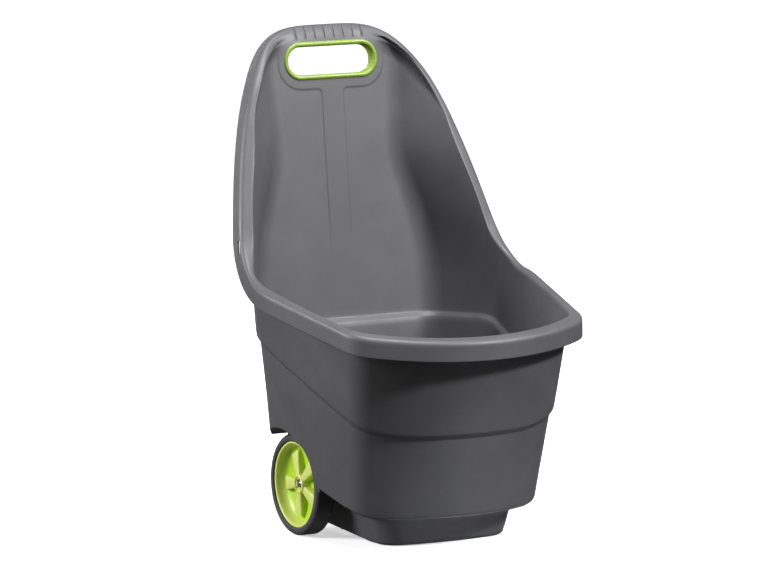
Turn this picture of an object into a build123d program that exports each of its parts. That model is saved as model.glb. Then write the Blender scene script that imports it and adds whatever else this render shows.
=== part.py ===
from build123d import *
import math
import os

# Garden cart, all sizes in millimetres.
# Frame: X across the cart, front at -Y, handle at +Y, Z up, ground at Z = 0.

# Overall sizes
overall_width = 515.0
overall_height = 830.0
front_reach = 280.0

# Tub walls
wall = 3.0
shoulder = 5.7
front_slope = 0.215
side_draft = 0.089
rear_draft = 0.084
panel_slope = 0.092
front_at_350 = 258.7
apex_at_350 = 201.5
rear_half_at_400 = 240.8
front_bow = 71.0
side_bulge = 8.0
panel_at_zero = 190.1
corner_radius = 60.0
wing_radius = 60.0
fold_radius = 50.0
body_bottom = 50.0

# Rim around the mouth
rim_front_height = 350.0
rim_slope = 0.217
rim_apex = 218.0
rim_corner = 65.0
rim_widest = 22.6
rim_widest_radius = 200.0
lean_low_y = 133.6
lean_low_z = 515.6
lean_slope = 0.356
bend_leg = 63.0
rim_skirt = 33.0
rim_width = 13.0
rim_wall = 3.0

# Arched back
arch_start = 415.0
arch_taper = 0.3035
arch_power = 3.34
arch_root = 3.92

# Shoulder line round the body
shoulder_front = 183.0
shoulder_rear = 329.0
shoulder_break_y = -212.0
shoulder_slope = 0.445

# Plinth under the front
plinth_front = 136.0
plinth_half = 118.0
plinth_rear = 150.0
plinth_rise = 0.07
plinth_rise_from = -60.0
plinth_bow = 15.0
plinth_taper = 6.0
plinth_flare = 12.0
plinth_overlap = 6.0
plinth_corner = 36.0
plinth_edge = 8.0
floor = 3.5

# Rising underside between the front corner and the wheel arch
undercut_front = -150.0
undercut_rear = 30.0
undercut_slope = 1.0 / 3.0

# Wheels and axle
axle_y = 74.0
axle_z = 85.0
wheel_radius = 85.0
tyre_width = 36.0
tyre_shoulder = 7.0
wheel_outer = 183.0
axle_radius = 5.0
axle_clearance = 0.06
arch_radius = 97.0
arch_tail = 170.0
well_face = 124.0
well_boss = 131.0
axle_half = 169.0
axle_chamfer = 0.6
recess_front = 42.0
recess_roof = 103.0
boss_radius = 14.0
boss_inner = 108.0
rib_x = 42.0
rib_boss = 5.0
rib_wall = 4.0
rib_low = 66.0
hub_radius = 15.0
hub_inner = 133.0
hub_seat = 163.0
hub_outer = 174.0
hub_recess = 11.5
washer_radius = 10.5
washer_gap = 0.2
washer_thick = 1.5
cap_radius = 8.0
cap_skirt = 4.0
cap_dome = 3.0
rim_outer = 72.5
rim_inner = 67.0
rim_edge = 180.0
web_in = 155.0
web_out = 158.0
web_dish = 4.0
rim_back = 149.5
spoke_top = 171.0
spoke_count = 5
spoke_phase = 67.0
spoke_hub_width = 11.0
spoke_end_width = 25.0
spoke_end = 56.0

# Handle opening and its ring
handle_z = 771.0
ring_half = 88.5
ring_half_height = 32.0
opening_half = 81.0
opening_half_height = 23.5
ring_lip = 3.0
ring_depth = 18.0
ring_round = 1.2
sleeve_wall = 4.5
round_ends = 0.96
snap_rim = 1.3
snap_width = 1.6
snap_below = 4.9
slot_gap = 0.3
emboss = 0.8
surround_half = 100.0
surround_half_height = 45.0
surround_drop = 3.0
surround_radius = 43.0
stem_half = 20.5
stem_length = 330.0
stem_top = 30.0
groove_count = 8
groove_pitch = 18.0
groove_z = 825.0
groove_width = 1.6
groove_depth = 1.4
groove_length = 24.0
side_slot_y = 134.0
side_slot_z = 479.0
side_slot_x = 252.0
side_slot_width = 7.0
side_slot_height = 25.0
side_slot_depth = 24.0

# Plan sections of the tub: heights they are lofted through
section_heights = [20, 140, 260, 380, 460, 540, 620, 700, 780, 860]
upper_from = 140
lower_to = 20

# Plan sections: where each line stops changing, and how fast it changes
front_at = 350.0
front_to = 470.0
rear_at = 400.0
rear_widest = 246.0
side_y = 104.0
side_y_rate = 0.26
wing_z = 461.0
wing_y = 88.0
wing_rate = 0.25
fold_at_zero = 150.0
fold_rate = 0.0477
fold_widest = 159.5
fold_narrowing = 0.29
fold_top = 112.0
fold_top_z = 625.0
fold_top_rate = 0.04
tuck = 5.0
tuck_from = 430.0
tuck_over = 60.0

# Heights of the points on the arch's curve
arch_foot = 380.0
arch_heights = [448, 500, 550, 600, 645, 685, 720, 752, 779, 801, 817, 826.5]

# Reach of the solids that only cut or trim, beyond every face of the cart
far = 420.0


def plan_numbers(z):
    # front, front corner (apex), side corner (sx, sy) and fold between wing and panel (fx, fy)
    zf = min(z, front_to)
    front = -front_at_350 + front_slope * (front_at - zf)
    apex = apex_at_350 - side_draft * (front_at - zf)
    sx = min(rear_half_at_400 - rear_draft * (rear_at - z), rear_widest)
    sy = max(side_y - side_y_rate * max(z - rear_at, 0.0), wing_y)
    if z > wing_z:
        sy = wing_y + wing_rate * (z - wing_z)
    low_fold = fold_at_zero + fold_rate * z
    high_fold = fold_widest - fold_narrowing * (z - wing_z)
    fx = max(min(low_fold, high_fold), fold_top + fold_top_rate * (z - fold_top_z))
    fy = panel_at_zero + panel_slope * z
    pull = tuck * min(max((tuck_from - z) / tuck_over, 0.0), 1.0)
    return front, apex, sx - pull, sy, fx - pull, fy


def plan_face(z, grow):
    front, apex, sx, sy, fx, fy = plan_numbers(z)
    ya = front + front_bow
    bow = ThreePointArc((-apex, ya), (0, front), (apex, ya))
    bulge = side_bulge * min(z, front_at) / front_at
    mx = (apex + sx) / 2 + bulge
    my = (ya + sy) / 2
    right = ThreePointArc((apex, ya), (mx, my), (sx, sy))
    left = ThreePointArc((-apex, ya), (-mx, my), (-sx, sy))
    back = Polyline([(sx, sy), (fx, fy), (-fx, fy), (-sx, sy)])
    face = make_face([bow, right, left] + back.edges())
    face = fillet([v for v in face.vertices() if v.Y < 0], corner_radius)
    face = fillet([v for v in face.vertices() if abs(abs(v.X) - sx) < 0.01], wing_radius)
    face = fillet([v for v in face.vertices() if abs(v.Y - fy) < 0.01], fold_radius)
    if grow != 0:
        face = offset(face, grow)
    return Pos(0, 0, z) * face


def body_loft(grow, low):
    heights = [low] + [z for z in section_heights if z > low]
    return loft([plan_face(z, grow) for z in heights])


def arch_half(z):
    t = max((z - arch_start) / (overall_height - arch_start), 0.0)
    side = overall_width / 2 * (1.0 - arch_taper * t)
    return side * max(1.0 - t ** arch_power, 0.0) ** (1.0 / arch_root)


def arch_point(z, inset):
    # point of the arch at height z, moved inwards at right angles to the curve
    step = 0.01
    slope = (arch_half(z + step) - arch_half(z - step)) / (2 * step)
    length = math.hypot(1.0, slope)
    return arch_half(z) - inset / length, z + inset * slope / length


def arch_prism(inset):
    half = overall_width / 2 - inset
    right = [(half, arch_foot)] + [arch_point(z, inset) for z in arch_heights]
    left = [(-x, z) for x, z in reversed(right)]
    top = Spline(right + [(0, overall_height - inset)] + left, tangents=[(0, 1), (0, -1)])
    base = Polyline([(-half, arch_foot), (-half, -far), (half, -far), (half, arch_foot)])
    face = make_face(top.edges() + base.edges())
    return extrude(Plane.XZ * face, amount=far, both=True)


def rim_plan(inset):
    ya = -front_reach + front_bow
    half = overall_width / 2
    bow = ThreePointArc((-rim_apex, ya), (0, -front_reach), (rim_apex, ya))
    back = Polyline(
        [(rim_apex, ya), (half, rim_widest), (half, far), (-half, far), (-half, rim_widest), (-rim_apex, ya)]
    )
    face = make_face([bow] + back.edges())
    face = fillet([v for v in face.vertices() if v.Y < ya + 1.0], rim_corner)
    face = fillet([v for v in face.vertices() if abs(v.Y - rim_widest) < 0.01], rim_widest_radius)
    if inset != 0:
        face = offset(face, -inset)
    return extrude(face, amount=1000)


def lean_y(z):
    return lean_low_y + lean_slope * (z - lean_low_z)


def rim_line():
    # corner of the two straight runs of the rim, seen from the side
    ky = (lean_low_y + lean_slope * (rim_front_height + rim_slope * front_reach - lean_low_z)) / (
        1.0 - lean_slope * rim_slope
    )
    kz = rim_front_height + rim_slope * (ky + front_reach)
    return ky, kz


def side_edges(drop):
    # rim line moved down and back by drop, as edges in the (y, z) plane
    ky, kz = rim_line()
    a = math.atan(rim_slope)
    b = math.atan2(1.0, lean_slope)
    y0 = -far
    p0 = (y0 + drop * math.sin(a), rim_front_height + rim_slope * (y0 + front_reach) - drop * math.cos(a))
    top = overall_height + 120.0
    p3 = (lean_y(top) + drop * math.sin(b), top - drop * math.cos(b))
    # the bend is an arc whose centre lies above the line
    turn = b - a
    radius = bend_leg / math.tan(turn / 2)
    ta = (ky - bend_leg * math.cos(a), kz - bend_leg * math.sin(a))
    centre = (ta[0] - radius * math.sin(a), ta[1] + radius * math.cos(a))
    rr = radius + drop
    s = (centre[0] + rr * math.sin(a), centre[1] - rr * math.cos(a))
    m = (centre[0] + rr * math.sin((a + b) / 2), centre[1] - rr * math.cos((a + b) / 2))
    e = (centre[0] + rr * math.sin(b), centre[1] - rr * math.cos(b))
    return [Line(p0, s), ThreePointArc(s, m, e), Line(e, p3)], p0, p3


def above_prism(drop):
    # everything above and in front of the rim line
    edges, p0, p3 = side_edges(drop)
    cap = Polyline([p3, (p3[0], 3 * far), (-2 * far, 3 * far), (-2 * far, p0[1]), p0])
    face = make_face(edges + cap.edges())
    return extrude(Plane.YZ * face, amount=far, both=True)


def shoulder_prism(lift):
    y1 = shoulder_break_y
    y2 = y1 + (shoulder_rear - shoulder_front) / shoulder_slope
    pts = [
        (-far, shoulder_front + lift),
        (y1, shoulder_front + lift),
        (y2, shoulder_rear + lift),
        (far, shoulder_rear + lift),
        (far, 1000),
        (-far, 1000),
        (-far, shoulder_front + lift),
    ]
    face = make_face(Polyline(pts))
    return extrude(Plane.YZ * face, amount=far, both=True)


def block(x0, x1, y0, y1, z0, z1):
    return Pos((x0 + x1) / 2, (y0 + y1) / 2, (z0 + z1) / 2) * Box(x1 - x0, y1 - y0, z1 - z0)


def x_cylinder(radius, x0, x1, y, z):
    return Pos((x0 + x1) / 2, y, z) * Rot(0, 90, 0) * Cylinder(radius, abs(x1 - x0))


def plinth_face(z, half, front, rear, radius):
    corner = front + plinth_bow
    bow = ThreePointArc((-half, corner), (0, front), (half, corner))
    narrow = half - plinth_taper
    back = Polyline([(half, corner), (narrow, rear), (-narrow, rear), (-half, corner)])
    face = make_face([bow] + back.edges())
    face = fillet([v for v in face.vertices() if v.Y < 0], radius)
    return Pos(0, 0, z) * face


def plinth_solid(inset, low):
    half = plinth_half - inset
    front = -plinth_front + inset
    rear = plinth_rear - inset
    rounded = loft(
        [
            plinth_face(low, half - 7.0, front + 7.0, rear, plinth_corner - 6.0),
            plinth_face(low + 3.0, half - 2.0, front + 2.0, rear, plinth_corner - 3.0),
            plinth_face(low + plinth_edge, half, front, rear, plinth_corner),
        ],
        ruled=True,
    )
    shaft = loft(
        [
            plinth_face(low + plinth_edge, half, front, rear, plinth_corner),
            plinth_face(
                body_bottom + plinth_overlap,
                half + plinth_flare,
                front - plinth_flare + 1.0,
                rear,
                plinth_corner + 6.0,
            ),
        ],
        ruled=True,
    )
    return rounded + shaft


def rear_wedge(lift):
    # space under the plinth's bottom, or under its floor, both of which rise towards the rear
    y0 = plinth_rise_from
    z1 = lift + (far - y0) * plinth_rise
    face = make_face(Polyline([(y0, -far), (y0, lift), (far, z1), (far, -far), (y0, -far)]))
    return extrude(Plane.YZ * face, amount=far, both=True)


def wheel_well(side, grow):
    x0 = well_face - grow
    tube = x_cylinder(arch_radius + grow, x0, far, axle_y, axle_z)
    tail = block(x0, far, axle_y, far, -far, arch_tail + grow)
    well = tube + tail
    if side < 0:
        well = mirror(well, Plane.YZ)
    return well


def side_undercut(side, grow):
    # rising underside outboard of the plinth, between the front corner and the wheel arch
    low_z = body_bottom + grow
    high_z = low_z + (undercut_rear - undercut_front) * undercut_slope
    pts = [
        (undercut_front, low_z),
        (undercut_rear, high_z),
        (undercut_rear, -far),
        (undercut_front, -far),
        (undercut_front, low_z),
    ]
    face = make_face(Polyline(pts))
    outboard = block(plinth_half + plinth_flare - grow, far, -far, far, -far, far)
    cut = extrude(Plane.YZ * face, amount=far, both=True) & outboard
    if side < 0:
        cut = mirror(cut, Plane.YZ)
    return cut


def make_tub():
    upper_out = body_loft(0, upper_from) & shoulder_prism(0)
    lower_out = body_loft(-shoulder, body_bottom)
    outer = (upper_out + lower_out) & arch_prism(rim_width - wall)
    upper_in = body_loft(-wall, upper_from) & shoulder_prism(wall)
    lower_in = body_loft(-shoulder - wall, body_bottom + floor)
    inner = (upper_in + lower_in) & arch_prism(rim_width)
    outer = outer + (plinth_solid(0, 0) - rear_wedge(0))
    hollow_plinth = plinth_solid(wall, floor) - rear_wedge(floor)
    inner = inner + (hollow_plinth & block(-far, far, -far, recess_front - wall, 0, far))
    for side in (1, -1):
        outer = outer - wheel_well(side, 0)
        outer = outer - side_undercut(side, 0)
        inner = inner - wheel_well(side, wall)
        inner = inner - side_undercut(side, wall)
    half = well_face - wall
    rail = plinth_half - plinth_taper - wall
    recess = block(-half, half, recess_front, far, body_bottom - 1.0, recess_roof)
    recess = recess + block(-rail, rail, recess_front, far, -far, body_bottom)
    outer = outer - recess
    inner = inner - block(-far, far, recess_front - wall, far, -far, recess_roof + wall)
    above = above_prism(0)
    shell = outer - inner - above
    zone = rim_plan(0) & arch_prism(0)
    flange = (zone & (above_prism(rim_wall) - above)) - inner
    hollow = rim_plan(rim_wall) & arch_prism(rim_wall)
    skirt = (zone - hollow) & (above_prism(rim_skirt) - above)
    tub = shell + flange + skirt
    for detail in tub_details():
        tub = tub + detail
    for cut in tub_cuts():
        tub = tub - cut
    return tub


def tub_details():
    size = (surround_half, surround_half_height, surround_radius)
    surround = hand_extrude(*size, -1.0, emboss, surround_drop)
    stem_middle = -stem_top - stem_length / 2
    stem = hand_plane() * Pos(0, stem_middle, 0) * Box(2 * stem_half, stem_length, 2 * emboss)
    details = [surround, stem]
    for side in (1, -1):
        details.append(x_cylinder(boss_radius, side * boss_inner, side * well_boss, axle_y, axle_z))
        middle = side * rib_x
        details.append(x_cylinder(boss_radius, middle - rib_boss, middle + rib_boss, axle_y, axle_z))
        low_x = middle - rib_wall / 2
        high_x = middle + rib_wall / 2
        details.append(block(low_x, high_x, recess_front - 1.0, plinth_rear, rib_low, recess_roof + 1.0))
    return details


def tub_cuts():
    slot_x = opening_half + sleeve_wall + slot_gap
    slot_z = opening_half_height + sleeve_wall + slot_gap
    cuts = [x_cylinder(axle_radius + axle_clearance, -far, far, axle_y, axle_z)]
    cuts.append(hand_extrude(slot_x, slot_z, slot_z * round_ends, -ring_depth, ring_depth))
    lean = math.degrees(math.atan(lean_slope))
    for side in (1, -1):
        place = Pos(side * side_slot_x, side_slot_y, side_slot_z)
        cuts.append(place * Rot(-lean, 0, 0) * Box(side_slot_depth, side_slot_width, side_slot_height))
    for i in range(groove_count):
        x = (i - (groove_count - 1) / 2) * groove_pitch
        groove = Box(groove_width, groove_depth, groove_length)
        cuts.append(Pos(x, lean_y(groove_z), groove_z) * Rot(-lean, 0, 0) * groove)
    return cuts


def hand_plane():
    # panel face at the middle of the hand opening, facing the front and slightly up
    tilt = math.atan(panel_slope)
    y = panel_at_zero - wall + panel_slope * handle_z
    return Plane(origin=(0, y, handle_z), x_dir=(1, 0, 0), z_dir=(0, -math.cos(tilt), math.sin(tilt)))


def hand_extrude(half, half_height, radius, low, high, drop=0.0):
    face = RectangleRounded(2 * half, 2 * half_height, radius)
    return hand_plane() * Pos(0, -drop, low) * extrude(face, amount=high - low)


def make_grip_ring():
    sleeve_x = opening_half + sleeve_wall
    sleeve_z = opening_half_height + sleeve_wall
    front = emboss + 0.05
    end = sleeve_z * round_ends
    lip = hand_extrude(ring_half, ring_half_height, ring_half_height * round_ends, front, front + ring_lip)
    lip = fillet(lip.edges().sort_by(Axis((0, 0, 0), tuple(hand_plane().z_dir)))[-8:], ring_round)
    sleeve = hand_extrude(sleeve_x, sleeve_z, end, -ring_depth, front + 1.0)
    snap = hand_extrude(sleeve_x + snap_rim, sleeve_z + snap_rim, end, -snap_below, snap_width - snap_below)
    ring = lip + sleeve + snap
    hole_end = opening_half_height * round_ends
    hole = hand_extrude(opening_half, opening_half_height, hole_end, -2 * ring_depth, 2 * ring_depth)
    return ring - hole


def wheel_axis(solid):
    return Pos(0, axle_y, axle_z) * solid


def turned(points):
    # points are (x, radius) pairs, revolved round the X axis
    face = make_face(Polyline(points + [points[0]]))
    return revolve(face, Axis.X, 360)


def make_tyre():
    x0 = wheel_outer - tyre_width
    x1 = wheel_outer
    bead = rim_outer
    tyre = turned([(x0, bead), (x1, bead), (x1, wheel_radius), (x0, wheel_radius)])
    big = [e for e in tyre.edges().filter_by(GeomType.CIRCLE) if e.radius > wheel_radius - 0.01]
    return fillet(big, tyre_shoulder)


def make_disc():
    middle = hub_radius - 6.0
    edge = rim_inner + 1.0
    bore = rim_inner + 1.5
    rim = turned([(rim_back, bore), (rim_edge, rim_inner), (rim_edge, rim_outer), (rim_back, rim_outer)])
    web = turned([(web_in, middle), (web_out, middle), (web_out + web_dish, edge), (web_in + web_dish, edge)])
    hub = x_cylinder(hub_radius, hub_inner, hub_outer, 0, 0)
    disc = rim + web + hub
    w0 = spoke_hub_width / 2
    w1 = spoke_end_width / 2
    wedge = [(middle, -w0), (spoke_end, -w1), (spoke_end, w1), (middle, w0), (middle, -w0)]
    face = make_face(Polyline(wedge))
    base = web_in + 1.0
    bar = Pos(base, 0, 0) * extrude(Plane.YZ * face, amount=spoke_top - base)
    for i in range(spoke_count):
        disc = disc + Rot(spoke_phase + 360.0 / spoke_count * i, 0, 0) * bar
    disc = disc - x_cylinder(axle_radius + axle_clearance, 0, far, 0, 0)
    disc = disc - x_cylinder(hub_recess, hub_seat, far, 0, 0)
    return disc


def make_washer(start):
    ring = x_cylinder(washer_radius, start, start + washer_thick, 0, 0)
    return ring - x_cylinder(axle_radius, 0, far, 0, 0)


def make_cap():
    start = hub_seat + 2 * washer_gap + washer_thick
    brim = start + cap_skirt
    top = brim + cap_dome
    skirt = x_cylinder(cap_radius, start, brim, 0, 0)
    shoulder_r = cap_radius - 1.8
    dome = turned([(brim, 0), (brim, cap_radius), (top - 1.4, shoulder_r), (top - 0.4, 4), (top, 0)])
    cap = skirt + dome
    return cap - x_cylinder(axle_radius, 0, axle_half, 0, 0)


def both_sides(name, solid):
    save(name + "_left", wheel_axis(solid))
    save(name + "_right", wheel_axis(mirror(solid, Plane.YZ)))


def save(name, solid):
    export_step(solid, "parts/" + name + ".step")


def main():
    os.makedirs("parts", exist_ok=True)
    save("grip_ring", make_grip_ring())
    axle = x_cylinder(axle_radius, -axle_half, axle_half, 0, 0)
    axle = chamfer(axle.edges().filter_by(GeomType.CIRCLE), axle_chamfer)
    save("axle", wheel_axis(axle))
    both_sides("tyre", make_tyre())
    both_sides("wheel_disc", make_disc())
    both_sides("inner_washer", make_washer(well_boss + washer_gap))
    both_sides("outer_washer", make_washer(hub_seat + washer_gap))
    both_sides("push_cap", make_cap())
    save("tub", make_tub())


main()
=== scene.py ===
import bmesh
import bpy
import math
import numpy as np
from mathutils import Matrix, Vector


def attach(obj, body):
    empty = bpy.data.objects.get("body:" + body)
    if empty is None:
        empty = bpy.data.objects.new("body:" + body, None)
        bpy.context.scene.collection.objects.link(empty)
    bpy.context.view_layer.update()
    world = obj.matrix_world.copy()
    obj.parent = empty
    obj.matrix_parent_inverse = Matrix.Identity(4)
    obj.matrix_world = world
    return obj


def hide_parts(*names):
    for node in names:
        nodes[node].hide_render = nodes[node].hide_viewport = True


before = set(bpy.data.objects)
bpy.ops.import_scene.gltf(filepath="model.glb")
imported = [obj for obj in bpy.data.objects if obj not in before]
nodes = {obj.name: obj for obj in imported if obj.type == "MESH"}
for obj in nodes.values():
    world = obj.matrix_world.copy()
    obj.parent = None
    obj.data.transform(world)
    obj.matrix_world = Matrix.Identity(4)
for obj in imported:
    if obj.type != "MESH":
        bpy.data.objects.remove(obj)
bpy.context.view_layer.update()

# ---------------------------------------------------------------- sizes in millimetres
MM = 0.001
WALL = 3.0
SHOULDER = 5.7
TOP_Z = 830.0
HALF_WIDTH = 257.5
FRONT_Y = -280.0
BOW = 71.0
RIM_FRONT_Z = 350.0
RIM_SLOPE = 0.217
LEAN_Y, LEAN_Z, LEAN_SLOPE = 133.6, 515.6, 0.356
BEND_LEG = 63.0
SKIRT = 33.0
ARCH_START, ARCH_TAPER, ARCH_POWER, ARCH_ROOT = 415.0, 0.3035, 3.34, 3.92
ARCH_BAND = 13.0
AXLE_Y, AXLE_Z = 74.0, 85.0
WELL_R = 97.0
WELL_TAIL = 163.0
HAND_Z = 771.0
PANEL_SLOPE = 0.092
PANEL_Y0 = 190.1
LEVELS = np.array([20.0, 140, 260, 380, 460, 540, 620, 700, 780, 860])


def ease(t):
    t = np.clip(t, 0.0, 1.0)
    return t * t * (3.0 - 2.0 * t)


def unit(v):
    return v / np.maximum(np.linalg.norm(v, axis=-1, keepdims=True), 1e-9)


# ---------------------------------------------------------------- plan outline of the tub
def circle_through(a, b, c):
    ax, ay = a
    bx, by = b
    cx, cy = c
    d = 2 * (ax * (by - cy) + bx * (cy - ay) + cx * (ay - by))
    ux = ((ax**2 + ay**2) * (by - cy) + (bx**2 + by**2) * (cy - ay) + (cx**2 + cy**2) * (ay - by)) / d
    uy = ((ax**2 + ay**2) * (cx - bx) + (bx**2 + by**2) * (ax - cx) + (cx**2 + cy**2) * (bx - ax)) / d
    return np.array([ux, uy]), math.hypot(ax - ux, ay - uy)


def circle_meet(c0, r0, c1, r1, near):
    d = np.linalg.norm(c1 - c0)
    a = (r0**2 - r1**2 + d**2) / (2 * d)
    h = math.sqrt(max(r0**2 - a**2, 0.0))
    e = (c1 - c0) / d
    m = c0 + a * e
    p = np.array([-e[1], e[0]])
    return min((m + h * p, m - h * p), key=lambda q: np.linalg.norm(q - near))


def arc_run(centre, radius, a, b, f):
    a0 = math.atan2(a[1] - centre[1], a[0] - centre[0])
    a1 = math.atan2(b[1] - centre[1], b[0] - centre[0])
    t = a0 + (a1 - a0) * f
    n = np.stack([np.cos(t), np.sin(t)], 1)
    return centre + radius * n, n


def line_run(a, b, f):
    d = unit(b - a)
    n = np.array([d[1], -d[0]])
    return a + (b - a) * f[:, None], np.repeat(n[None], len(f), 0)


def outline(z, runs):
    zf = min(z, 470.0)
    front = -258.7 + 0.215 * (350.0 - zf)
    apex = 201.5 - 0.089 * (350.0 - zf)
    sx = min(240.8 - 0.084 * (400.0 - z), 246.0)
    sy = max(104.0 - 0.26 * max(z - 400.0, 0.0), 88.0)
    if z > 461.0:
        sy = 88.0 + 0.25 * (z - 461.0)
    fx = max(min(150.0 + 0.0477 * z, 159.5 - 0.29 * (z - 461.0)), 112.0 + 0.04 * (z - 625.0))
    fy = PANEL_Y0 + PANEL_SLOPE * z
    pull = 5.0 * min(max((430.0 - z) / 60.0, 0.0), 1.0)
    sx, fx = sx - pull, fx - pull
    ya = front + BOW
    r_bow = (apex**2 + BOW**2) / (2 * BOW)
    c_bow = np.array([0.0, front + r_bow])
    bulge = 8.0 * min(z, 350.0) / 350.0
    mid = ((apex + sx) / 2 + bulge, (ya + sy) / 2)
    c_side, r_side = circle_through((apex, ya), mid, (sx, sy))
    corner, shoulder, fold = np.array([apex, ya]), np.array([sx, sy]), np.array([fx, fy])
    c_front = circle_meet(c_bow, r_bow - 60.0, c_side, r_side - 60.0, corner)
    t_bow = c_bow + unit(c_front - c_bow) * r_bow
    t_side = c_side + unit(c_front - c_side) * r_side
    d = unit(fold - shoulder)
    inward = np.array([-d[1], d[0]])
    base = shoulder + inward * 60.0 - c_side
    bq = float(base @ d)
    t = -bq + math.sqrt(max(bq**2 - float(base @ base) + (r_side - 60.0) ** 2, 0.0))
    t2 = -bq - math.sqrt(max(bq**2 - float(base @ base) + (r_side - 60.0) ** 2, 0.0))
    t = t if abs(t) < abs(t2) else t2
    c_s = shoulder + inward * 60.0 + d * t
    t_s0 = c_side + unit(c_s - c_side) * r_side
    t_s1 = c_s - inward * 60.0
    turn = math.acos(max(-1.0, min(1.0, float(d @ np.array([-1.0, 0.0])))))
    leg = 50.0 * math.tan(turn / 2)
    t_f0 = fold - d * leg
    t_f1 = fold + np.array([-leg, 0.0])
    c_f = t_f1 + np.array([0.0, -50.0])
    parts = [
        arc_run(c_bow, r_bow, (0.0, front), t_bow, runs[0]),
        arc_run(c_front, 60.0, t_bow, t_side, runs[1]),
        arc_run(c_side, r_side, t_side, t_s0, runs[2]),
        arc_run(c_s, 60.0, t_s0, t_s1, runs[3]),
        line_run(t_s1, t_f0, runs[4]),
        arc_run(c_f, 50.0, t_f0, t_f1, runs[5]),
        line_run(t_f1, np.array([0.0, fy]), runs[6]),
    ]
    return np.concatenate([np.concatenate([p, n], 1) for p, n in parts])


def run(n):
    return np.arange(n) / n


def side_run():
    # more columns where the wheel arch climbs steeply
    probe = outline(100.0, [run(2), run(2), np.array([0.0, 1.0]), run(2), run(2), run(2), run(2)])
    y0, y1 = probe[4, 1], probe[5, 1]
    ys = np.concatenate(
        [np.linspace(y0, -27, 22, endpoint=False), np.arange(-27, -12, 0.9), np.arange(-12, 16, 1.8)]
    )
    ys = np.concatenate([ys, np.linspace(16, y1, 22, endpoint=False)])
    return (ys - y0) / (y1 - y0)


def panel_run():
    near = np.linspace(0.0, 0.44, 40, endpoint=False)
    far = np.linspace(0.44, 1.0, 76)
    return np.concatenate([near, far])


RUNS = [run(44), run(24), side_run(), run(14), run(70), run(14), panel_run()]


def spline_moments(x, y):
    # second derivatives of a natural cubic spline through y at x
    n = len(x)
    h = np.diff(x)
    a = np.zeros((n, n))
    r = np.zeros((n,) + y.shape[1:])
    a[0, 0] = a[-1, -1] = 1.0
    for i in range(1, n - 1):
        a[i, i - 1], a[i, i], a[i, i + 1] = h[i - 1], 2 * (h[i - 1] + h[i]), h[i]
        r[i] = 6 * ((y[i + 1] - y[i]) / h[i] - (y[i] - y[i - 1]) / h[i - 1])
    return np.linalg.solve(a, r.reshape(n, -1)).reshape(r.shape)


SECTIONS = np.stack([outline(z, RUNS) for z in LEVELS])
MOMENTS = spline_moments(LEVELS, SECTIONS)
COLS = SECTIONS.shape[1]
COL = np.arange(COLS)


def wall_at(z, grow):
    """Point of each column of the wall at height z (one value per column), moved out by grow."""
    z = np.broadcast_to(np.asarray(z, float), (COLS,))
    grow = np.broadcast_to(np.asarray(grow, float), (COLS,))
    k = np.clip(np.searchsorted(LEVELS, z) - 1, 0, len(LEVELS) - 2)
    h = LEVELS[k + 1] - LEVELS[k]
    a = ((LEVELS[k + 1] - z) / h)[:, None]
    b = 1.0 - a
    s = a * SECTIONS[k, COL] + b * SECTIONS[k + 1, COL]
    s = s + ((a**3 - a) * MOMENTS[k, COL] + (b**3 - b) * MOMENTS[k + 1, COL]) * (h**2)[:, None] / 6.0
    n = unit(s[:, 2:])
    p = s[:, :2] + grow[:, None] * n
    p[0, 0] = p[-1, 0] = 0.0
    return np.concatenate([p, z[:, None]], 1), np.concatenate([n, np.zeros((COLS, 1))], 1)


# ---------------------------------------------------------------- rim line and arch
def rim_curve():
    ky = (LEAN_Y + LEAN_SLOPE * (RIM_FRONT_Z - RIM_SLOPE * FRONT_Y - LEAN_Z)) / (1.0 - LEAN_SLOPE * RIM_SLOPE)
    kz = RIM_FRONT_Z + RIM_SLOPE * (ky - FRONT_Y)
    a = math.atan(RIM_SLOPE)
    b = math.atan2(1.0, LEAN_SLOPE)
    radius = BEND_LEG / math.tan((b - a) / 2)
    ta = np.array([ky - BEND_LEG * math.cos(a), kz - BEND_LEG * math.sin(a)])
    centre = ta + radius * np.array([-math.sin(a), math.cos(a)])
    t = np.linspace(a, b, 80)
    bend = centre + radius * np.stack([np.sin(t), -np.cos(t)], 1)
    low_y = np.linspace(-330.0, ta[0], 60, endpoint=False)
    low = np.stack([low_y, RIM_FRONT_Z + RIM_SLOPE * (low_y - FRONT_Y)], 1)
    high_z = np.linspace(bend[-1, 1], 900.0, 61)[1:]
    high = np.stack([LEAN_Y + LEAN_SLOPE * (high_z - LEAN_Z), high_z], 1)
    points = np.concatenate([low, bend, high])
    angles = np.concatenate([np.full(60, a), t, np.full(60, b)])
    return points, angles


RIM, RIM_ANGLE = rim_curve()


def rim_z(y):
    return np.interp(y, RIM[:, 0], RIM[:, 1])


def rim_y(z):
    return np.interp(z, RIM[:, 1], RIM[:, 0])


def arch_curve(inset):
    th = np.linspace(0.0, math.pi / 2, 3000)
    t = np.sin(th) ** (2 / ARCH_POWER)
    s = np.cos(th) ** (2 / ARCH_ROOT)
    s[-1] = 0.0
    x = HALF_WIDTH * (1.0 - ARCH_TAPER * t) * s
    z = ARCH_START + (TOP_Z - ARCH_START) * t
    dx, dz = np.gradient(x), np.gradient(z)
    length = np.hypot(dx, dz)
    nx, nz = dz / length, -dx / length
    nx[-1], nz[-1] = 0.0, 1.0
    return x - inset * nx, z - inset * nz, nx, nz


ARCH_IN = arch_curve(ARCH_BAND)


def arch_in_x(z):
    return np.where(z < ARCH_START, HALF_WIDTH - ARCH_BAND, np.interp(z, ARCH_IN[1], ARCH_IN[0], right=-1.0))


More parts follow.
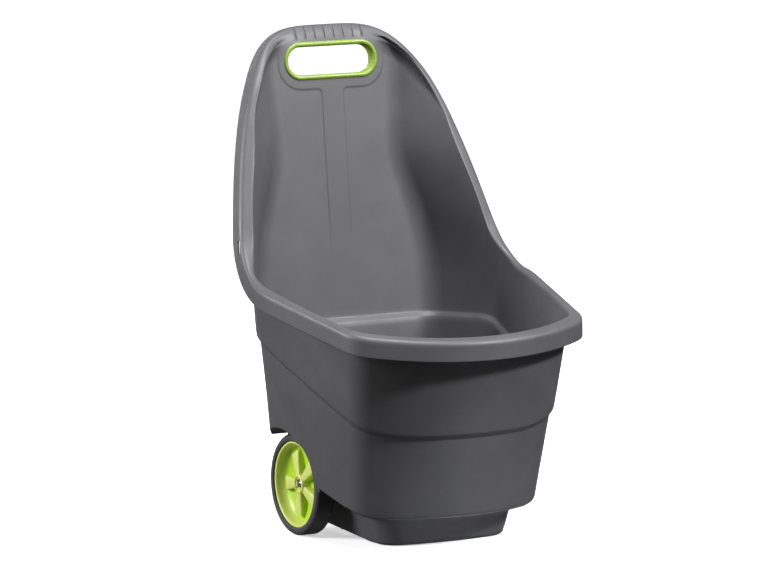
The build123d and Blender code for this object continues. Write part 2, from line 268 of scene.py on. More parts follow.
def wall_top():
    lo, hi = np.full(COLS, 250.0), np.full(COLS, 858.0)
    for _ in range(40):
        mid = (lo + hi) / 2
        p, _n = wall_at(mid, -WALL)
        inside = (mid < rim_z(p[:, 1])) & (p[:, 0] < arch_in_x(mid))
        lo, hi = np.where(inside, mid, lo), np.where(inside, hi, mid)
    return lo


TOP = wall_top()
EDGE, EDGE_N = wall_at(TOP, -WALL)
LIP = EDGE.copy()
LIP[:, 1] = np.minimum(EDGE[:, 1], np.where(EDGE[:, 2] > 440.0, rim_y(EDGE[:, 2]), 999.0))
TOP_ROLL = ease((165.0 - EDGE[:, 0]) / 110.0) * ease((EDGE[:, 2] - 630.0) / 90.0)
LIP[:, 1] += TOP_ROLL * (EDGE[:, 1] - 1.0 - LIP[:, 1])
BAND = EDGE[:, 1] - LIP[:, 1]


def outer_loop():
    """Outer corner line of the rim with its outward normals, from the front centre to the top centre."""
    apex, ya = 218.0, FRONT_Y + BOW
    r_bow = (apex**2 + BOW**2) / (2 * BOW)
    c_bow = np.array([0.0, FRONT_Y + r_bow])
    a, b = np.array([apex, ya]), np.array([HALF_WIDTH, 22.6])
    d = unit(b - a)
    inward = np.array([-d[1], d[0]])
    base = a + inward * 65.0 - c_bow
    bq = float(base @ d)
    root = math.sqrt(bq**2 - float(base @ base) + (r_bow - 65.0) ** 2)
    t = min((-bq + root, -bq - root), key=abs)
    centre = a + inward * 65.0 + d * t
    t0 = c_bow + unit(centre - c_bow) * r_bow
    t1 = centre - inward * 65.0
    turn = math.acos(float(d[1]))
    leg = 200.0 * math.tan(turn / 2)
    t2 = b - d * leg
    t3 = b + np.array([0.0, leg])
    c_wide = t3 - np.array([200.0, 0.0])
    parts = [
        arc_run(c_bow, r_bow, (0.0, FRONT_Y), t0, run(160)),
        arc_run(centre, 65.0, t0, t1, run(80)),
        line_run(t1, t2, run(160)),
        arc_run(c_wide, 200.0, t2, t3, run(30)),
    ]
    plan = np.concatenate([np.concatenate([p, n], 1) for p, n in parts])
    low = np.stack([plan[:, 0], plan[:, 1], rim_z(plan[:, 1]), plan[:, 2], plan[:, 3], 0 * plan[:, 0]], 1)
    ax, az, nx, nz = arch_curve(0.0)
    keep = az > low[-1, 2] + 2.0
    ax, az, nx, nz = ax[keep], az[keep], nx[keep], nz[keep]
    high = np.stack([ax, rim_y(az), az, nx, 0 * ax, nz], 1)
    loop = np.concatenate([low, high])
    length = np.concatenate([[0.0], np.cumsum(np.linalg.norm(np.diff(loop[:, :3], axis=0), axis=1))])
    even = np.linspace(0.0, length[-1], 2400)
    return np.stack([np.interp(even, length, loop[:, i]) for i in range(6)], 1), even


LOOP, LOOP_S = outer_loop()


def smooth_run(v, passes):
    for _ in range(passes):
        v = np.concatenate([v[:1], (v[:-2] + 2 * v[1:-1] + v[2:]) / 4, v[-1:]])
    return v


def match_outer():
    nearest = np.array([np.argmin(((LOOP[:, :3] - p) ** 2).sum(1)) for p in LIP])
    s = LOOP_S[np.maximum.accumulate(nearest)]
    s[0], s[-1] = 0.0, LOOP_S[-1]
    s = smooth_run(s, 12)
    got = np.stack([np.interp(s, LOOP_S, LOOP[:, i]) for i in range(6)], 1)
    got[0, 0] = got[-1, 0] = 0.0
    return got[:, :3], unit(got[:, 3:])


OUTER, OUTER_N = match_outer()
SIDE_SLOPE = ease((OUTER[:, 2] - 455.0) / 60.0) * (1.0 - TOP_ROLL)
OUTER[:, 1] += TOP_ROLL * (263.5 - OUTER[:, 1]) + 5.0 * SIDE_SLOPE
FACE = smooth_run(np.interp(OUTER[:, 1], RIM[:, 0], RIM_ANGLE), 6)
ROLL_LEG = 13.0
LOW_ANGLE, HIGH_ANGLE = math.atan(RIM_SLOPE), math.atan2(1.0, LEAN_SLOPE)
DROP_ANGLE = (FACE - LOW_ANGLE) / (HIGH_ANGLE - LOW_ANGLE) * math.pi / 2
DROP = np.stack([0 * FACE, np.sin(DROP_ANGLE), -np.cos(DROP_ANGLE)], 1)
DEPTH = SKIRT / np.cos(DROP_ANGLE - FACE)
DEPTH = DEPTH + TOP_ROLL * (19.5 - DEPTH) - 5.0 * SIDE_SLOPE
ACROSS = unit(OUTER - LIP)
WIDTH = np.linalg.norm(OUTER - LIP, axis=1)


# ---------------------------------------------------------------- details of the wall
def rounded_rect(x, y, half_x, half_y, r):
    qx, qy = np.abs(x) - half_x + r, np.abs(y) - half_y + r
    outside = np.hypot(np.maximum(qx, 0), np.maximum(qy, 0))
    return outside + np.minimum(np.maximum(qx, qy), 0) - r


def raised(x, z):
    """Height of the raised band round the hand opening and of the stem below it."""
    v = (z - HAND_Z) * math.hypot(1.0, PANEL_SLOPE)
    band = rounded_rect(x, v + 3.0, 100.0, 45.0, 43.0)
    stem = rounded_rect(x, v + 195.0, 20.5, 165.0, 3.0)
    k = 9.0
    h = np.maximum(k - np.abs(band - stem), 0.0) / k
    d = np.minimum(band, stem) - h * h * k / 4
    return 0.8 * ease(0.5 - d / 2.4) * ease((z - 415.0) / 110.0)


def shoulder_height(y):
    return np.clip(183.0 + 0.445 * (y + 212.0), 183.0, 329.0)


def soft_shoulder(y):
    # the shoulder line, with its two bends eased
    return np.mean([shoulder_height(y + o) for o in np.linspace(-18, 18, 9)], axis=0)


SHOULDER_Z = smooth_run(soft_shoulder(SECTIONS[2, :, 1]), 3)
CURL = np.array([0.0, 0.25, 0.9, 3.0, 5.6, 7.4, 8.2, 9.0, 10.6, 14.0, 19.0])
CURL_IN = np.array([5.7, 5.2, 4.8, 3.5, 1.9, 0.85, 0.5, 0.34, 0.2, 0.07, 0.0])


def tail_share():
    """One for the columns behind the wheel, where the wall ends in a broad rounded edge."""
    p, _n = wall_at(90.0, -SHOULDER)
    return ease((p[:, 1] - 132.0) / 10.0) * (p[:, 0] > 124.6)


TAIL = tail_share()


def bottom_height():
    p, _n = wall_at(90.0, -SHOULDER)
    x, y = p[:, 0], p[:, 1]
    z = np.where(y < -150.0, 50.0, 50.0 + (y + 150.0) / 3.0)
    inside = np.clip(WELL_R**2 - (y - AXLE_Y) ** 2, 0.0, None)
    ring = AXLE_Z + np.sqrt(inside)
    z = np.where(y > AXLE_Y - WELL_R + 0.2, np.where(y < AXLE_Y, ring, np.minimum(ring, 999.0)), z)
    z = np.where((y > AXLE_Y) & (ring < WELL_TAIL), WELL_TAIL, z)
    z = np.where((y > 150.0) & (x < 124.6), 103.0, z)
    return smooth_bottom(z, y)


def smooth_bottom(z, y):
    soft = smooth_run(z, 2)
    return np.where(y < -60.0, soft, z)


BOTTOM = bottom_height()


def wall_in(z):
    p, n = wall_at(z, -WALL)
    lift = raised(p[:, 0], p[:, 2]) * (p[:, 1] > 200.0) * (COL >= COLS - 116)
    tilt = np.array([0.0, -1.0, PANEL_SLOPE]) / math.hypot(1.0, PANEL_SLOPE)
    return p + lift[:, None] * tilt, n


def step_rows(low, high, count, extra, spread=1.0):
    f = (np.arange(count) / count) ** spread
    rows = []
    for t in f:
        rows.append(wall_at(low + (high - low) * t, -SHOULDER - extra)[0])
    return rows


def bezier(p0, c, p1, count):
    rows = []
    for s in np.linspace(0.0, 1.0, count):
        rows.append((1 - s) ** 2 * p0 + 2 * s * (1 - s) * c + s * s * p1)
    return rows


def lerp_rows(a, b, k):
    return [x * (1 - k[:, None]) + y * k[:, None] for x, y in zip(a, b)]


FILLET = 14.0 + 12.0 * ease((TOP - 755.0) / 55.0)


def inner_rows():
    rows = step_rows(BOTTOM + 7.0 + 11.0 * TAIL, SHOULDER_Z - 0.5, 22, WALL)
    start = np.maximum(SHOULDER_Z, BOTTOM + 9.0)
    for lift, back in zip(CURL[1:], CURL_IN[1:]):
        rows.append(wall_at(start + lift, -WALL - back)[0])
    low, high = start + CURL[-1], TOP - FILLET
    span = high - low
    f = np.concatenate([np.linspace(0, 0.72, 70, endpoint=False), np.linspace(0.72, 1.0, 78)])
    for t in f[1:]:
        rows.append(wall_in(low + span * t)[0])
    return rows


def lip_rows():
    edge_r = np.minimum(6.0, 0.42 * WIDTH)
    back = np.array([0.0, 1.0, 0.0])
    foot, _n = wall_in(TOP - FILLET)
    near, _n = wall_in(TOP - edge_r)
    lip_start = LIP + ACROSS * edge_r[:, None]
    share = np.minimum(0.62, 11.0 / np.maximum(BAND, 1.0)) * (1 - ease((TOP - 755.0) / 55.0))
    share = share + 0.72 * ease((TOP - 755.0) / 55.0)
    turn = EDGE + (LIP - EDGE) * share[:, None]
    before = LIP + back * np.minimum(edge_r, 0.36 * BAND)[:, None]
    deep = bezier(foot, EDGE, turn, 9)[1:]
    deep += [turn + (before - turn) * t for t in (0.34, 0.67)]
    deep += bezier(before, LIP, lip_start, 8)
    plain = [foot + (near - foot) * t for t in np.linspace(0, 1, 11)[1:]]
    plain += bezier(near, LIP, lip_start, 8)
    rows = lerp_rows(plain, deep, ease((BAND - 3.0) / 8.0))
    outer_r = np.minimum(9.0, 0.54 * WIDTH)
    lip_end = OUTER - ACROSS * outer_r[:, None]
    rows += [lip_start + (lip_end - lip_start) * t for t in (0.25, 0.5, 0.75)]
    rows += bezier(lip_end, OUTER, OUTER + DROP * outer_r[:, None], 9)
    for t in np.linspace(0.0, 1.0, 9)[1:]:
        rows.append(OUTER + DROP * (outer_r + (DEPTH - 3.0 - outer_r) * t)[:, None])
    roll = bezier(foot, OUTER, OUTER + DROP * ROLL_LEG, len(rows) - 7)[1:]
    for t in np.linspace(0.0, 1.0, 9)[1:]:
        roll.append(OUTER + DROP * (ROLL_LEG + (DEPTH - 3.0 - ROLL_LEG) * t)[:, None])
    return lerp_rows(rows, roll, TOP_ROLL)


def grooves(rows):
    """Eight short grip grooves over the front of the bar."""
    centres = (np.arange(8) - 3.5) * 18.0
    cut_rows = [rows[0]]
    for i in range(1, len(rows) - 1):
        along = rows[i + 1] - rows[i - 1]
        outward = unit(np.stack([0 * FACE, -along[:, 2], along[:, 1]], 1))
        x, y, z = rows[i].T
        cut = np.zeros(COLS)
        for c in centres:
            cut = np.maximum(cut, np.exp(-(((x - c) / 1.35) ** 4)))
        cut = cut * ease((z - 804.0) / 5.0) * ease((OUTER[:, 1] + ROLL_LEG - y) / 5.0) * 1.5
        cut_rows.append(rows[i] - outward * cut[:, None])
    return cut_rows + [rows[-1]]


def under_rows():
    hem = OUTER + DROP * DEPTH[:, None]
    inside = hem - OUTER_N * WALL
    rows = bezier(OUTER + DROP * (DEPTH - 2.0)[:, None], hem, hem - OUTER_N * 1.5, 5)
    rows += bezier(hem - OUTER_N * 1.5, inside, inside - DROP * 2.0, 4)[1:]
    roof = OUTER - OUTER_N * (WALL + 5.0 * TOP_ROLL[:, None]) + DROP * (WALL + 0.6 + 8.0 * TOP_ROLL[:, None])
    rows += [inside - DROP * 2.0 + (roof - inside + DROP * 2.0) * t for t in (0.5, 1.0)]
    arch_n = np.stack([OUTER_N[:, 0], 0 * FACE, OUTER_N[:, 2]], 1)
    arch_n = unit(arch_n + 1e-9)
    plain = LIP + EDGE_N * WALL + DROP * WALL
    plain = plain + TOP_ROLL[:, None] * np.array([0.0, 2.5, -4.0])
    deep = LIP + arch_n * WALL + np.array([0.0, WALL, 0.0])
    k = ease((BAND - 3.0) / 8.0)
    rows.append(plain * (1 - k[:, None]) + deep * k[:, None])
    corner = EDGE + arch_n * WALL + np.array([0.0, WALL, 0.0])
    top_out = wall_at(TOP - 4.0, 0.0)[0] + TOP_ROLL[:, None] * np.array([0.0, 2.5, -2.0])
    rows.append(top_out * (1 - k[:, None]) + corner * k[:, None])
    return rows


def outer_rows():
    rows = []
    start = np.maximum(SHOULDER_Z, BOTTOM + 9.0)
    low = start + CURL[-1]
    high = TOP - 6.0
    for t in np.linspace(1.0, 0.0, 60):
        p = wall_at(low + (high - low) * t, 0.0)[0]
        p[:, 1] += 2.5 * TOP_ROLL * ease((p[:, 2] - 770.0) / 35.0)
        rows.append(p)
    for lift, back in list(zip(CURL, CURL_IN))[-2::-1]:
        rows.append(wall_at(start + lift, -back)[0])
    ledge = start - 0.6
    rows.append(wall_at(ledge, -SHOULDER - 0.05)[0])
    rows.append(wall_at(start - 1.6, -SHOULDER)[0])
    foot = wall_at(90.0, 0.0)[0]
    front = foot[:, 1] < -100.0
    round_r = np.where(front, 6.0, 2.0 + 14.0 * TAIL)
    for t in np.linspace(1.0, 0.0, 24)[1:]:
        rows.append(wall_at(BOTTOM + round_r + (start - 2.6 - BOTTOM - round_r) * t, -SHOULDER)[0])
    a = wall_at(BOTTOM + round_r, -SHOULDER)[0]
    b = wall_at(BOTTOM, -SHOULDER)[0]
    c = wall_at(BOTTOM, -SHOULDER - np.where(front | (TAIL > 0), round_r, np.minimum(round_r, 2.9)))[0]
    rows += bezier(a, b, c, 9)[1:]
    hem = np.where(front, 14.0, 3.3 + 15.7 * TAIL)
    rows.append(wall_at(BOTTOM, -SHOULDER - hem)[0])
    rows.append(wall_at(BOTTOM + np.where(front, 3.4, 1.5 + 2.0 * TAIL), -SHOULDER - hem)[0])
    rows.append(wall_at(BOTTOM + np.where(front, 3.4, 2.5 + 12.5 * TAIL), -SHOULDER - WALL - 0.2)[0])
    return rows


# ---------------------------------------------------------------- mesh helpers
def new_object(name, verts, faces):
    mesh = bpy.data.meshes.new(name)
    mesh.from_pydata([tuple(v) for v in verts], [], faces)
    obj = bpy.data.objects.new(name, mesh)
    bpy.context.scene.collection.objects.link(obj)
    return obj


def clean(obj, angle=35.0):
    bm = bmesh.new()
    bm.from_mesh(obj.data)
    bmesh.ops.remove_doubles(bm, verts=bm.verts, dist=2e-6)
    bmesh.ops.dissolve_degenerate(bm, edges=bm.edges, dist=2e-6)
    bmesh.ops.recalc_face_normals(bm, faces=bm.faces)
    bm.to_mesh(obj.data)
    bm.free()
    for poly in obj.data.polygons:
        poly.use_smooth = True
    obj.data.set_sharp_from_angle(angle=math.radians(angle))
    return obj


def ring_grid(rows, cols, close_rows=True):
    faces = []
    last = rows if close_rows else rows - 1
    for j in range(last):
        a, b = j * cols, ((j + 1) % rows) * cols
        for i in range(cols):
            k = (i + 1) % cols
            faces.append((a + i, a + k, b + k, b + i))
    return faces


def mirror_columns(rows):
    grid = np.stack(rows)
    other = grid[:, -2:0:-1].copy()
    other[:, :, 0] *= -1.0
    return np.concatenate([grid, other], 1)


def make_shell():
    rows = inner_rows() + grooves(lip_rows()) + under_rows() + outer_rows()
    grid = mirror_columns(rows)
    r, c = grid.shape[:2]
    return new_object("tub_shell", grid.reshape(-1, 3) * MM, ring_grid(r, c))



def wrap_loops(loops, cap_first=True, cap_last=True):
    """Vertices and faces of closed loops of equal length, joined one to the next."""
    n = len(loops[0])
    verts = np.concatenate(loops)
    faces = []
    for j in range(len(loops) - 1):
        a, b = j * n, (j + 1) * n
        faces += [(a + i, a + (i + 1) % n, b + (i + 1) % n, b + i) for i in range(n)]
    if cap_first:
        faces.append(tuple(range(n)))
    if cap_last:
        faces.append(tuple(range((len(loops) - 1) * n, len(loops) * n)))
    return verts, faces


def mirrored(part):
    verts, faces = part
    other = verts.copy()
    other[:, 0] *= -1.0
    return other, [tuple(reversed(f)) for f in faces]


def gather(name, parts):
    verts, faces, start = [], [], 0
    for v, f in parts:
        verts.append(np.asarray(v, float))
        faces += [tuple(i + start for i in face) for face in f]
        start += len(v)
    return new_object(name, np.concatenate(verts) * MM, faces)


PANEL_COLS = 116


def half_width_at(y, z):
    p = wall_at(z, -SHOULDER - 1.5)[0][: COLS - PANEL_COLS]
    return float(np.interp(y, p[:, 1], p[:, 0]))


def arc_height(y, radius, tail):
    z = AXLE_Z + math.sqrt(max(radius**2 - (y - AXLE_Y) ** 2, 0.0))
    return max(z, tail) if y > AXLE_Y else z


def wheel_well():
    """Roof of one wheel well with the thin upright cheek beside it."""
    th = np.linspace(math.pi, math.radians(53.5), 52)
    ys = np.concatenate([[-26.0, -24.6], AXLE_Y + WELL_R * np.cos(th), np.linspace(135, 198, 12)])
    loops = []
    for y in ys:
        top = arc_height(y, WELL_R + WALL, WELL_TAIL + WALL)
        low = arc_height(y, WELL_R, WELL_TAIL) if y > AXLE_Y - WELL_R - 0.1 else AXLE_Z
        top = max(top, low + WALL * 0.6)
        x_top, x_low = half_width_at(y, top), half_width_at(y, low)
        foot_y = min(y, 187.5)
        loops.append(
            [
                (max(x_top, 124.6), y, top),
                (123.6, y, top),
                (122.0, y, top - 0.7),
                (121.1, y, top - 2.4),
                (121.0, foot_y, 50.2),
                (124.0, foot_y, 50.2),
                (124.0, y, low),
                (max(x_low, 124.6), y, low),
            ]
        )
    return wrap_loops([np.array(q) for q in loops])


def extruded(outline_yz, x0, x1, soft=0.8):
    """A plate with the given outline in the (y, z) plane, from x0 to x1, with softened end edges."""
    p = np.array(outline_yz, float)
    c = p.mean(0)
    small = c + (p - c) * (1.0 - soft / np.maximum(np.linalg.norm(p - c, axis=1), 1.0))[:, None]
    loops = []
    for x, q in ((x0, small), (x0 + soft, p), (x1 - soft, p), (x1, small)):
        loops.append(np.column_stack([np.full(len(q), x), q]))
    return wrap_loops(loops)


def x_roller(radius, x0, x1, count=48, soft=1.0):
    t = np.arange(count) / count * 2 * math.pi
    loops = []
    for x, r in ((x0, radius - soft), (x0 + soft * 0.3, radius - soft * 0.3), (x0 + soft, radius),
                 (x1 - soft, radius), (x1 - soft * 0.3, radius - soft * 0.3), (x1, radius - soft)):
        loops.append(np.column_stack([np.full(count, x), AXLE_Y + r * np.cos(t), AXLE_Z + r * np.sin(t)]))
    return wrap_loops(loops)


def plinth_plan(half, front, radius, rear, count=(26, 16, 26)):
    """Half outline of the plinth, from its front centre back along one side to y = rear."""
    bow = 15.0
    r_bow = (half**2 + bow**2) / (2 * bow)
    c_bow = np.array([0.0, front + r_bow])
    a = np.array([half, front + bow])
    b = np.array([half - 6.0, 150.0])
    d = unit(b - a)
    inward = np.array([-d[1], d[0]])
    base = a + inward * radius - c_bow
    bq = float(base @ d)
    root = math.sqrt(bq**2 - float(base @ base) + (r_bow - radius) ** 2)
    centre = a + inward * radius + d * min((-bq + root, -bq - root), key=abs)
    t0 = c_bow + unit(centre - c_bow) * r_bow
    t1 = centre - inward * radius
    end = a + d * (rear - a[1]) / d[1]
    parts = [
        arc_run(c_bow, r_bow, (0.0, front), t0, run(count[0]))[0],
        arc_run(centre, radius, t0, t1, run(count[1]))[0],
        line_run(t1, end, np.linspace(0, 1, count[2]))[0],
    ]
    return np.concatenate(parts)


def plinth_row(z, grow, flare, squeeze=1.0):
    """Points of the plinth at height z: grow moves its side in or out, squeeze draws it to the middle."""
    half, front = 118.0 + flare + grow, -136.0 - 0.92 * flare - grow
    p = plinth_plan(half, front, 36.0 + 0.5 * flare + grow * 0.5, 42.0)
    rise = 0.07 * np.maximum(p[:, 1] + 60.0, 0.0) * (1.0 - min(max(z, 0.0) / 56.0, 1.0))
    return np.column_stack([p[:, 0] * squeeze, p[:, 1], z + rise])


def plinth():
    rows = []
    for z in (56.0, 50.0, 42.0, 33.0, 24.0, 16.0):
        rows.append(plinth_row(z, 0.0, (z - 8.0) / 4.0))
    for a in np.linspace(0.0, 90.0, 8):
        s = math.radians(a)
        rows.append(plinth_row(10.0 * (1 - math.sin(s)), -10.0 * (1 - math.cos(s)), 0.0))
    for q in (0.66, 0.33, 0.0):
        rows.append(plinth_row(0.0, -10.0, 0.0, q))
    turn = len(rows)
    for q in (0.0, 0.33, 0.66):
        rows.append(plinth_row(3.5, -12.0, 0.0, q))
    for a in np.linspace(90.0, 0.0, 6):
        s = math.radians(a)
        rows.append(plinth_row(3.5 + 8.0 * (1 - math.sin(s)), -3.0 - 8.0 * (1 - math.cos(s)), 0.0))
    for z in (20.0, 35.0, 48.0, 56.0):
        rows.append(plinth_row(z, -3.0, (z - 8.0) / 4.0))
    grid = np.stack(rows)
    r, c = grid.shape[:2]
    faces = []
    for j in range(r):
        if j == turn - 1:
            continue
        a, b = j * c, ((j + 1) % r) * c
        faces += [(a + i, a + i + 1, b + i + 1, b + i) for i in range(c - 1)]
    faces.append(tuple(j * c + c - 1 for j in range(r)))
    return grid.reshape(-1, 3), faces


def resample(p, count):
    s = np.concatenate([[0.0], np.cumsum(np.linalg.norm(np.diff(p, axis=0), axis=1))])
    t = np.linspace(0.0, s[-1], count)
    return np.stack([np.interp(t, s, p[:, i]) for i in range(p.shape[1])], 1)


def front_floor():
    """Underside between the plinth and the walls, in front of the wheel wells."""
    inner = plinth_plan(128.2, -145.0, 40.0, -23.0, (40, 30, 40))
    outer = wall_at(52.0, -SHOULDER - 1.5)[0][:, :2]
    outer = np.vstack([outer[outer[:, 1] < -23.0], [[half_width_at(-23.0, 52.0), -23.0]]])
    inner, outer = resample(inner, 90), resample(outer, 90)
    steps = [0.0, 0.035, 0.2, 0.4, 0.6, 0.8, 0.93, 1.0]
    rows = []
    for lift, order in ((3.3, steps), (0.1, steps[::-1])):
        for f in order:
            p = inner + (outer - inner) * f
            slope = np.maximum(p[:, 1] + 150.0, 0.0) / 3.0 * ease((p[:, 0] - 127.0) / 2.5)
            x = p[:, 0] + 0.084 * slope * f
            rows.append(np.column_stack([x, p[:, 1], 50.0 + slope + lift]))
    grid = np.stack(rows)
    r, c = grid.shape[:2]
    faces = []
    for j in range(r):
        a, b = j * c, ((j + 1) % r) * c
        faces += [(a + i, a + i + 1, b + i + 1, b + i) for i in range(c - 1)]
    faces.append(tuple(j * c + c - 1 for j in range(r)))
    return grid.reshape(-1, 3), faces


def rail():
    """Side of the plinth behind the recess wall, with the same rounded lower edge."""
    loops = []
    inside = 109.0
    for y in (41.0, 60.0, 95.0, 130.0, 148.0, 150.0):
        dx = 6.0 * (y + 121.0) / 271.0
        lift = 0.07 * (y + 60.0)
        edge = 118.0 - dx
        turn = np.radians([80, 60, 45, 30, 15, 0])
        outer = [(edge - 10.0 * (1 - math.cos(a)), 10.0 * (1 - math.sin(a))) for a in turn]
        outer += [(edge + (z - 10.0) / 4.0, z) for z in (20.0, 33.0)]
        outer += [(min(edge + (z - 10.0) / 4.0, 124.0), z) for z in (46.0, 56.0)]
        points = [(x, y, z + lift * (1.0 - min(z / 56.0, 1.0))) for x, z in outer]
        points += [(inside, y, 50.2), (inside, y, 30.0), (inside, y, outer[0][1] + lift + 1.2)]
        if y == 150.0:
            c = np.mean(points, axis=0)
            points = [tuple(c + (np.array(p) - c) * 0.9) for p in points]
        loops.append(np.array(points))
    return wrap_loops(loops)


def recess_roof():
    top, low = 106.2, 103.0
    return extruded(
        [(39.0, 49.6), (39.0, 103.0), (39.9, 105.3), (42.2, top), (192.5, top), (192.5, low), (43.2, low),
         (42.0, 101.8), (42.0, 49.6)],
        -122.0, 122.0, 0.0001,
    )


def recess_foot():
    return extruded([(39.0, 7.8), (39.0, 51.0), (42.0, 51.0), (42.0, 7.8)], -111.0, 111.0, 0.0001)


def make_core():
    parts = [recess_roof(), recess_foot()]
    saddle = [(41.0, 66.0), (41.0, 104.0), (150.0, 104.0), (150.0, 70.0), (146.0, 66.0)]
    one_side = [wheel_well(), plinth(), front_floor(), rail()]
    one_side += [x_roller(14.0, 108.0, 131.0), x_roller(14.0, 37.0, 47.0), extruded(saddle, 40.0, 44.0)]
    for part in one_side:
        parts += [part, mirrored(part)]
    return gather("tub_core", parts)


# ---------------------------------------------------------------- hand opening
TILT = math.hypot(1.0, PANEL_SLOPE)
HAND_Y = PANEL_Y0 - WALL + PANEL_SLOPE * HAND_Z


def hand_point(x, v, h):
    return np.stack(
        [x, HAND_Y + (v * PANEL_SLOPE - h) / TILT, HAND_Z + (v + h * PANEL_SLOPE) / TILT], -1
    )


def stadium(half_x, half_v, radius, corner=26, side=22, cap=4):
    """Closed outline of a rounded rectangle, counter-clockwise."""
    x, v = half_x - radius, half_v - radius
    pts = []
    for cx, cv, a0 in ((x, v, 0), (-x, v, 90), (-x, -v, 180), (x, -v, 270)):
        for a in np.radians(a0 + np.linspace(0, 90, corner)):
            pts.append((cx + radius * math.cos(a), cv + radius * math.sin(a)))
        nx, nv = {0: (-x, half_v), 90: (-half_x, -v), 180: (x, -half_v), 270: (half_x, v)}[a0]
        count = side if a0 in (0, 180) else cap
        last = np.array(pts[-1])
        for t in np.linspace(0, 1, count + 1)[1:-1]:
            pts.append(tuple(last + (np.array([nx, nv]) - last) * t))
    return np.array(pts)


RING_X, RING_V, OPEN_X, OPEN_V = 88.5, 32.0, 81.0, 23.5


def make_ring():
    section = [
        (0.02, -17.4), (0.0, -16.5), (0.0, -12.0), (0.0, -7.0), (0.0, -3.0), (0.0, -0.5),
        (0.03, 0.9), (0.1, 1.9), (0.22, 2.7), (0.38, 3.15), (0.56, 3.3),
        (0.72, 3.1), (0.86, 2.6), (0.96, 1.8), (1.0, 0.86),
        (0.62, 0.82), (0.575, 0.4), (0.575, -3.2), (0.73, -3.5), (0.73, -4.6), (0.575, -5.0), (0.575, -16.8),
        (0.52, -17.6), (0.42, -18.0), (0.12, -18.0),
    ]
    loops = []
    for s, h in section:
        hx, hv = OPEN_X + (RING_X - OPEN_X) * s, OPEN_V + (RING_V - OPEN_V) * s
        p = stadium(hx, hv, hv * 0.96)
        loops.append(hand_point(p[:, 0], p[:, 1], np.full(len(p), h)))
    verts, faces = wrap_loops(loops, False, False)
    n = len(loops[0])
    last = (len(loops) - 1) * n
    faces += [(last + i, last + (i + 1) % n, (i + 1) % n, i) for i in range(n)]
    return new_object("grip_ring_moulding", verts * MM, faces)


def cut_away(obj, cutter):
    mod = obj.modifiers.new("cut", "BOOLEAN")
    mod.object = cutter
    mod.operation = "DIFFERENCE"
    mod.solver = "EXACT"
    dg = bpy.context.evaluated_depsgraph_get()
    mesh = bpy.data.meshes.new_from_object(obj.evaluated_get(dg))
    obj.modifiers.remove(mod)
    obj.data = mesh
    bpy.data.objects.remove(cutter)


def hand_cutter():
    p = stadium(OPEN_X + 4.8, OPEN_V + 4.8, (OPEN_V + 4.8) * 0.96)
    loops = [hand_point(p[:, 0], p[:, 1], np.full(len(p), h)) for h in (-12.0, 8.0)]
    verts, faces = wrap_loops(loops)
    return clean(new_object("hand_cutter", verts * MM, faces))


def side_cutter(side):
    lean = math.atan(LEAN_SLOPE)
    p = stadium(3.5, 12.5, 2.2, 8, 2, 6)
    y = 134.0 + p[:, 0] * math.cos(lean) + p[:, 1] * math.sin(lean)
    z = 479.0 + p[:, 1] * math.cos(lean) - p[:, 0] * math.sin(lean)
    loops = [np.column_stack([np.full(len(y), side * x), y, z]) for x in (238.5, 266.0)]
    verts, faces = wrap_loops(loops)
    return clean(new_object("side_cutter", verts * MM, faces))


# ---------------------------------------------------------------- wheels
def turned(profile, count=144):
    """Profile of (x, radius) points turned round the axle; the ends are closed on each other."""
    t = np.arange(count) / count * 2 * math.pi
    p = np.array(profile)
    verts = np.concatenate(
        [np.column_stack([np.full(count, x), AXLE_Y + r * np.cos(t), AXLE_Z + r * np.sin(t)]) for x, r in p]
    )
    faces = []
    n = len(p)
    for j in range(n):
        a, b = j * count, ((j + 1) % n) * count
        faces += [(a + i, a + (i + 1) % count, b + (i + 1) % count, b + i) for i in range(count)]
    return verts, faces


def arc_profile(cx, cr, radius, a0, a1, count):
    t = np.radians(np.linspace(a0, a1, count))
    return [(cx + radius * math.cos(a), cr + radius * math.sin(a)) for a in t]


def tyre_parts():
    profile = [(148.0, 72.5), (147.3, 73.0), (147.0, 74.0), (147.0, 76.5)]
    profile += arc_profile(154.0, 78.0, 7.0, 180, 90, 9)
    profile += [(160.0, 85.0), (165.0, 85.0), (170.0, 85.0)]
    profile += arc_profile(176.0, 78.0, 7.0, 90, 0, 9)
    profile += [(183.0, 76.0), (183.0, 74.0), (182.6, 73.1), (181.8, 72.5)]
    profile += [(174.0, 72.5), (164.0, 72.5), (155.0, 72.5)]
    return [turned(profile)]


def spoke(angle):
    loops = []
    stations = [(8.0, 171.6, 0.0), (14.0, 171.6, 0.0), (20.0, 171.3, 0.0), (28.0, 170.8, 0.0)]
    stations += [(36.0, 170.2, 0.0), (44.0, 169.5, 0.0), (50.0, 168.8, 0.0), (53.6, 168.2, 0.2)]
    stations += [(55.2, 167.2, 0.7), (56.2, 165.4, 1.2), (57.4, 162.4, 1.7), (58.6, 159.4, 2.1)]
    for r, top, tuck in stations:
        half = 5.6 + 6.8 * (r - 12.0) / 42.0 - tuck
        low = min(158.0, top - 0.5)
        mid = max(top - 2.4, low + 0.1)
        brow = max(top - 0.8, mid + 0.05)
        section = [(low, -half - 1.3), (mid, -half - 0.35), (brow, -half + 0.4), (top, -half + 1.8)]
        section += [(top - 0.1, 0.0)]
        section += [(top, half - 1.8), (brow, half - 0.4), (mid, half + 0.35), (low, half + 1.3)]
        loops.append([(x, r, w) for x, w in section])
    p = np.array(loops)
    c, s = math.cos(angle), math.sin(angle)
    y = AXLE_Y + p[..., 1] * c - p[..., 2] * s
    z = AXLE_Z + p[..., 1] * s + p[..., 2] * c
    out = np.stack([p[..., 0], y, z], -1)
    return wrap_loops(list(out))


